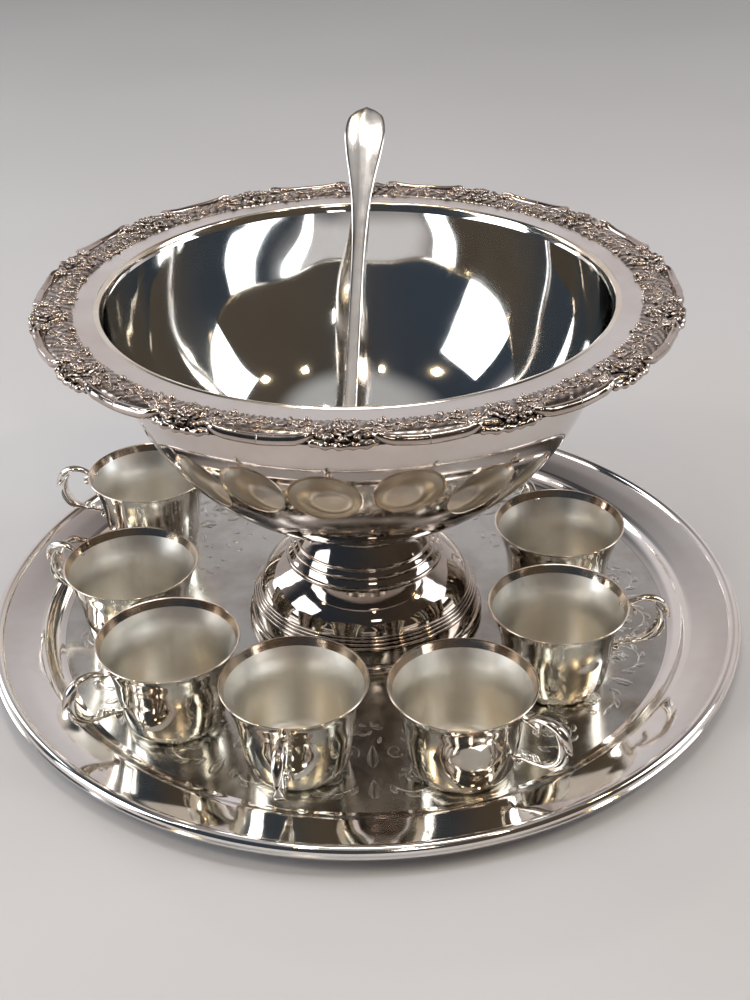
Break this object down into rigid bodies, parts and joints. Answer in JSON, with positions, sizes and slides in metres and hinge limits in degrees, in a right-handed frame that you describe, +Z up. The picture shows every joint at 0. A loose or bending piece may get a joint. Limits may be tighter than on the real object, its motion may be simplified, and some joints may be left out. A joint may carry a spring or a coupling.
{
  "type": "punch bowl set",
  "caption": "Footed silver-plated punch bowl with a cast floral border, standing on a round tray with its ladle and handled cups.",
  "frame": {"origin": "centre of the tray's flat underside, on the bowl's axis", "axes": "+Z up, front of the set at -Y, +X to the right"},
  "size_m": [0.4896, 0.4894, 0.2779],
  "materials": {
    "tray_silver": "polished silver plate with a chased floor",
    "bowl_silver": "mirror-polished silver plate, satin flange",
    "foot_silver": "polished silver plate, lightly tarnished",
    "border_silver": "cast silver plate with dark tarnish in the recesses",
    "ladle_silver": "polished silver plate",
    "cup_silver": "mirror outside, satin inside",
    "handle_silver": "cast and polished silver plate"
  },
  "bodies": {
    "tray": {"tray_plate": "tray_silver", "tray_edge_wire": "tray_silver"},
    "bowl": {"bowl_shell": "bowl_silver", "pedestal_foot": "foot_silver", "foot_wire": "foot_silver", "neck_collar": "foot_silver", "border_casting_01": "border_silver", "border_casting_02": "border_silver", "border_casting_03": "border_silver", "border_casting_04": "border_silver", "border_casting_05": "border_silver", "border_casting_06": "border_silver", "border_casting_07": "border_silver", "border_casting_08": "border_silver", "border_casting_09": "border_silver", "border_casting_10": "border_silver", "border_casting_11": "border_silver", "border_casting_12": "border_silver", "border_casting_13": "border_silver", "border_casting_14": "border_silver"},
    "ladle": {"ladle_bowl": "ladle_silver", "ladle_handle": "ladle_silver"},
    "cup_1": {"cup_1_body": "cup_silver", "cup_1_handle": "handle_silver"},
    "cup_2": {"cup_2_body": "cup_silver", "cup_2_handle": "handle_silver"},
    "cup_3": {"cup_3_body": "cup_silver", "cup_3_handle": "handle_silver"},
    "cup_4": {"cup_4_body": "cup_silver", "cup_4_handle": "handle_silver"},
    "cup_5": {"cup_5_body": "cup_silver", "cup_5_handle": "handle_silver"},
    "cup_6": {"cup_6_body": "cup_silver", "cup_6_handle": "handle_silver"},
    "cup_7": {"cup_7_body": "cup_silver", "cup_7_handle": "handle_silver"},
    "cup_8": {"cup_8_body": "cup_silver", "cup_8_handle": "handle_silver"}
  },
  "joints": [
    {"name": "bowl_lift", "type": "slide", "parent": "tray", "child": "bowl", "axis": [0, 0, 1], "range_m": [0, 0.16]},
    {"name": "ladle_lift", "type": "slide", "parent": "bowl", "child": "ladle", "axis": [0, 0, 1], "range_m": [0, 0.22]},
    {"name": "cup_1_lift", "type": "slide", "parent": "tray", "child": "cup_1", "axis": [-0.1916, -0.6807, 0.7071], "range_m": [0, 0.18]},
    {"name": "cup_2_lift", "type": "slide", "parent": "tray", "child": "cup_2", "axis": [0.2142, -0.6739, 0.7071], "range_m": [0, 0.18]},
    {"name": "cup_3_lift", "type": "slide", "parent": "tray", "child": "cup_3", "axis": [-0.5181, -0.4812, 0.7071], "range_m": [0, 0.18]},
    {"name": "cup_4_lift", "type": "slide", "parent": "tray", "child": "cup_4", "axis": [-0.6966, -0.1214, 0.7071], "range_m": [0, 0.18]},
    {"name": "cup_5_lift", "type": "slide", "parent": "tray", "child": "cup_5", "axis": [-0.6049, 0.3662, 0.7071], "range_m": [0, 0.18]},
    {"name": "cup_6_lift", "type": "slide", "parent": "tray", "child": "cup_6", "axis": [0.5654, -0.4247, 0.7071], "range_m": [0, 0.18]},
    {"name": "cup_7_lift", "type": "slide", "parent": "tray", "child": "cup_7", "axis": [0.7064, 0.0325, 0.7071], "range_m": [0, 0.18]},
    {"name": "cup_8_lift", "type": "slide", "parent": "tray", "child": "cup_8", "axis": [0.1059, 0.6991, 0.7071], "range_m": [0, 0.18]}
  ]
}
